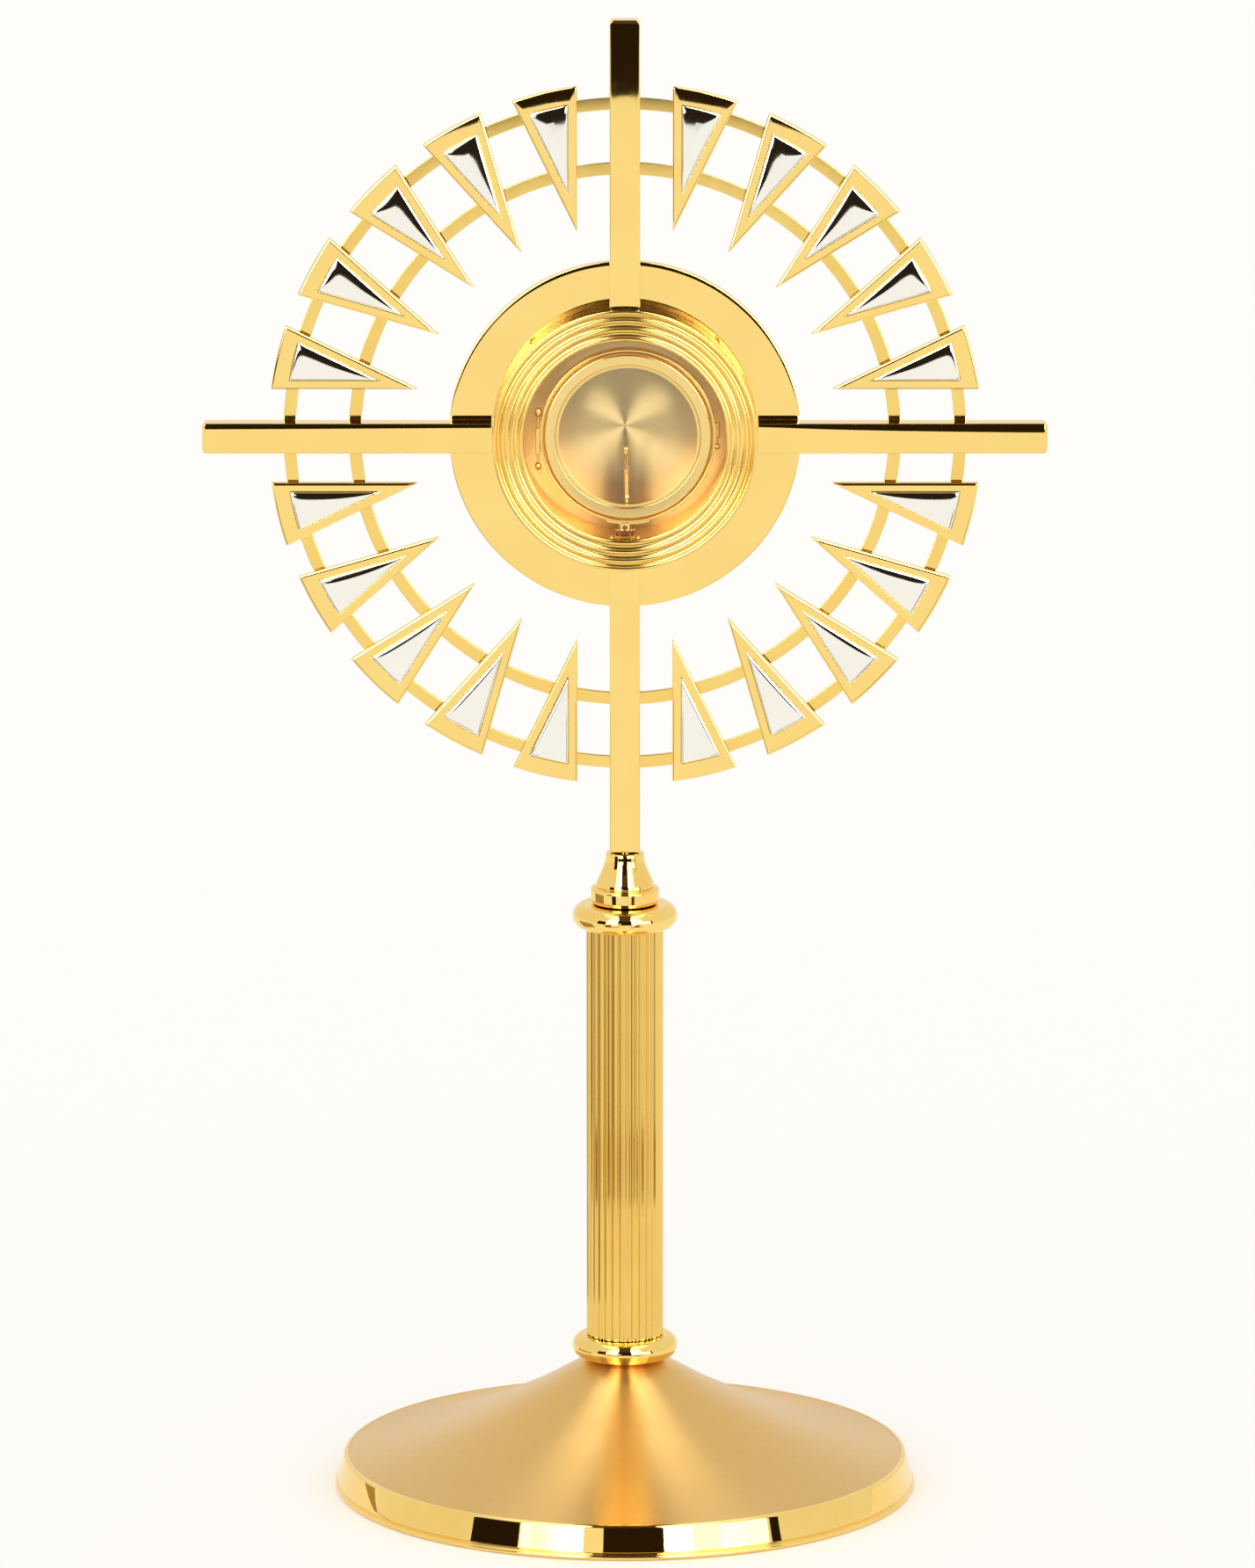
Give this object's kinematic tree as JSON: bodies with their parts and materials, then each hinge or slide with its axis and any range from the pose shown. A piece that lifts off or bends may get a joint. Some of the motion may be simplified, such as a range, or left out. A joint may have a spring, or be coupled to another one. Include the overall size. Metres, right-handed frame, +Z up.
{
  "type": "monstrance",
  "caption": "Standing monstrance: a glazed round case for a luna, in a cross with a sunburst of wedge rays on two rings, on a fluted stem and a flared round base.",
  "frame": {"origin": "centre of the base's underside, on the surface the monstrance stands on", "axes": "+Z up the stem, -Y the front with the glass, +X to the right as seen from the front"},
  "size_m": [0.33, 0.2298, 0.588],
  "materials": {
    "polished_gold": "polished gold plate on brass",
    "brushed_gold": "lathe-brushed gold plate on brass",
    "silver": "polished silver plate",
    "steel": "plain steel rod and nut",
    "glass": "clear flat glass"
  },
  "bodies": {
    "root": {"base_shell": "brushed_gold", "lower_collar": "polished_gold", "column": "polished_gold", "knop": "polished_gold", "stem_cup": "polished_gold", "lower_arm": "polished_gold", "upper_arm": "polished_gold", "left_arm": "polished_gold", "right_arm": "polished_gold", "outer_ring": "polished_gold", "inner_ring": "polished_gold", "disc_plate": "polished_gold", "case_drum": "polished_gold", "front_bezel": "polished_gold", "tie_rod": "steel", "front_glass": "glass", "ray_01": "polished_gold", "ray_02": "polished_gold", "ray_03": "polished_gold", "ray_04": "polished_gold", "ray_05": "polished_gold", "ray_06": "polished_gold", "ray_07": "polished_gold", "ray_08": "polished_gold", "ray_09": "polished_gold", "ray_10": "polished_gold", "ray_11": "polished_gold", "ray_12": "polished_gold", "ray_13": "polished_gold", "ray_14": "polished_gold", "ray_15": "polished_gold", "ray_16": "polished_gold", "ray_17": "polished_gold", "ray_18": "polished_gold", "ray_19": "polished_gold", "ray_20": "polished_gold", "ray_insert_01": "silver", "ray_insert_02": "silver", "ray_insert_03": "silver", "ray_insert_04": "silver", "ray_insert_05": "silver", "ray_insert_06": "silver", "ray_insert_07": "silver", "ray_insert_08": "silver", "ray_insert_09": "silver", "ray_insert_10": "silver", "ray_insert_11": "silver", "ray_insert_12": "silver", "ray_insert_13": "silver", "ray_insert_14": "silver", "ray_insert_15": "silver", "ray_insert_16": "silver", "ray_insert_17": "silver", "ray_insert_18": "silver", "ray_insert_19": "silver", "ray_insert_20": "silver"},
    "door": {"door": "brushed_gold"},
    "latch": {"latch": "polished_gold"},
    "luna": {"luna_ring": "polished_gold", "luna_glass": "glass"}
  },
  "joints": [
    {"name": "door_hinge", "type": "hinge", "parent": "root", "child": "door", "pos_m": [-0.0505, 0.0265, 0.423], "axis": [0, 0, 1], "range_deg": [0, 110]},
    {"name": "latch_turn", "type": "hinge", "parent": "root", "child": "latch", "pos_m": [0.0515, 0.0261, 0.423], "axis": [0, -1, 0], "range_deg": [0, 90]},
    {"name": "luna_slide", "type": "slide", "parent": "root", "child": "luna", "axis": [0, 1, 0], "range_m": [0, 0.014]}
  ]
}
